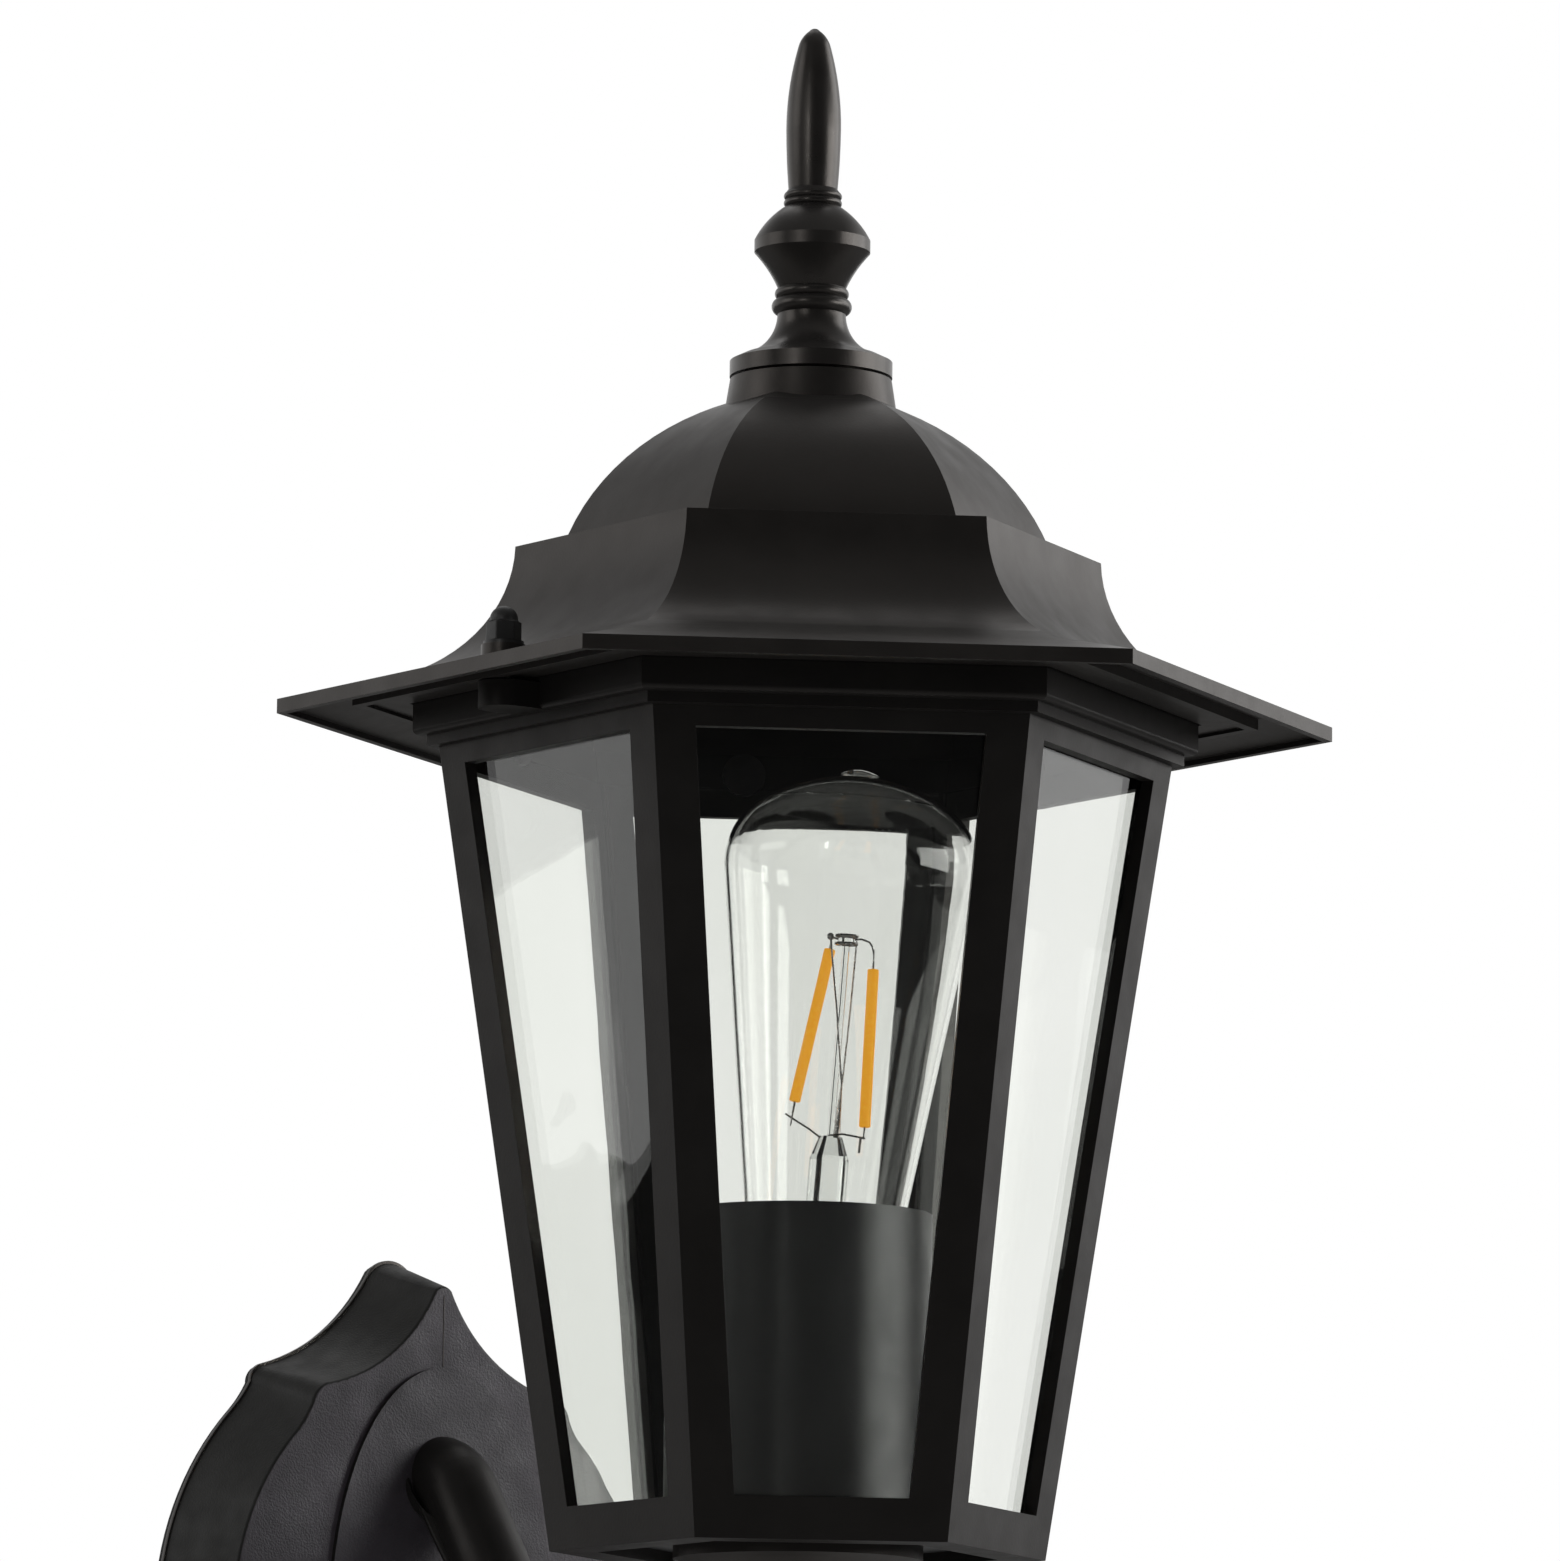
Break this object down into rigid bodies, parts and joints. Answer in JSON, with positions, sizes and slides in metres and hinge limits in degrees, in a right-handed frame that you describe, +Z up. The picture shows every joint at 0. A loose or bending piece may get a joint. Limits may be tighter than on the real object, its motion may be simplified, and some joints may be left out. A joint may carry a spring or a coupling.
{
  "type": "wall lantern",
  "caption": "Hexagonal glazed wall lantern with a stepped lift-off roof and finial, a clear screw-in filament lamp in a sleeve, a bent arm below and an ogee wall plate.",
  "frame": {"origin": "middle of the wall plate on the wall's surface", "axes": "+Z up, +Y into the wall, the lantern stands out towards -Y"},
  "size_m": [0.2078, 0.2884, 0.4426],
  "materials": {
    "black_casting": "satin powder coat",
    "black_nut": "satin",
    "clear_pane": "polished",
    "clip_metal": "satin",
    "black_sleeve": "satin",
    "floor_metal": "satin",
    "zinc_steel": "bright zinc",
    "holder_body": "matt",
    "brass": "satin",
    "lamp_metal": "satin",
    "lamp_insulation": "gloss",
    "lamp_clear": "polished",
    "stem_clear": "polished",
    "filament_amber": "matt",
    "lead_wire": "bright",
    "gasket_rubber": "matt",
    "terminal_plastic": "matt"
  },
  "bodies": {
    "lantern": {"cage_casting": "black_casting", "base_cup": "black_casting", "arm_casting": "black_casting", "wall_plate": "black_casting", "plate_nuts": "black_nut", "glass_pane_front_left": "clear_pane", "glass_pane_front_right": "clear_pane", "glass_pane_right": "clear_pane", "glass_pane_rear_right": "clear_pane", "glass_pane_rear_left": "clear_pane", "glass_pane_left": "clear_pane", "pane_clips": "clip_metal", "lamp_sleeve": "black_sleeve", "floor_plate": "floor_metal", "roof_studs": "zinc_steel", "lock_nut": "zinc_steel", "lock_washer": "zinc_steel", "arm_screws": "zinc_steel", "mounting_bar": "zinc_steel", "plate_studs": "zinc_steel", "lamp_bracket": "zinc_steel", "lamp_nipple": "zinc_steel", "nipple_nut": "zinc_steel", "lampholder_body": "holder_body", "screw_shell": "brass", "centre_contact": "brass", "earth_screw": "brass", "wall_gasket": "gasket_rubber", "terminal_block": "terminal_plastic"},
    "roof": {"roof_casting": "black_casting", "finial": "black_casting", "finial_stud": "zinc_steel", "finial_nut": "zinc_steel", "finial_washer": "zinc_steel", "nut_washers": "black_nut"},
    "nut_left": {"cap_nut_left": "black_nut"},
    "nut_right": {"cap_nut_right": "black_nut"},
    "lamp": {"lamp_cap": "lamp_metal", "lamp_contact": "lamp_metal", "lamp_insulator": "lamp_insulation", "lamp_glass": "lamp_clear", "lamp_stem": "stem_clear", "lamp_filaments": "filament_amber", "lamp_wires": "lead_wire"}
  },
  "joints": [
    {"name": "roof_lift", "type": "slide", "parent": "lantern", "child": "roof", "axis": [0, 0, 1], "range_m": [0, 0.12]},
    {"name": "nut_left_turn", "type": "hinge", "parent": "roof", "child": "nut_left", "pos_m": [-0.08345, -0.1684, 0.206], "axis": [0, 0, 1], "continuous": true},
    {"name": "nut_right_turn", "type": "hinge", "parent": "roof", "child": "nut_right", "pos_m": [0.08345, -0.1684, 0.206], "axis": [0, 0, 1], "continuous": true},
    {"name": "lamp_turn", "type": "hinge", "parent": "lantern", "child": "lamp", "pos_m": [0, -0.1684, 0.0127], "axis": [0.0564, -0.041, 0.9976], "range_deg": [0, 1080]}
  ]
}
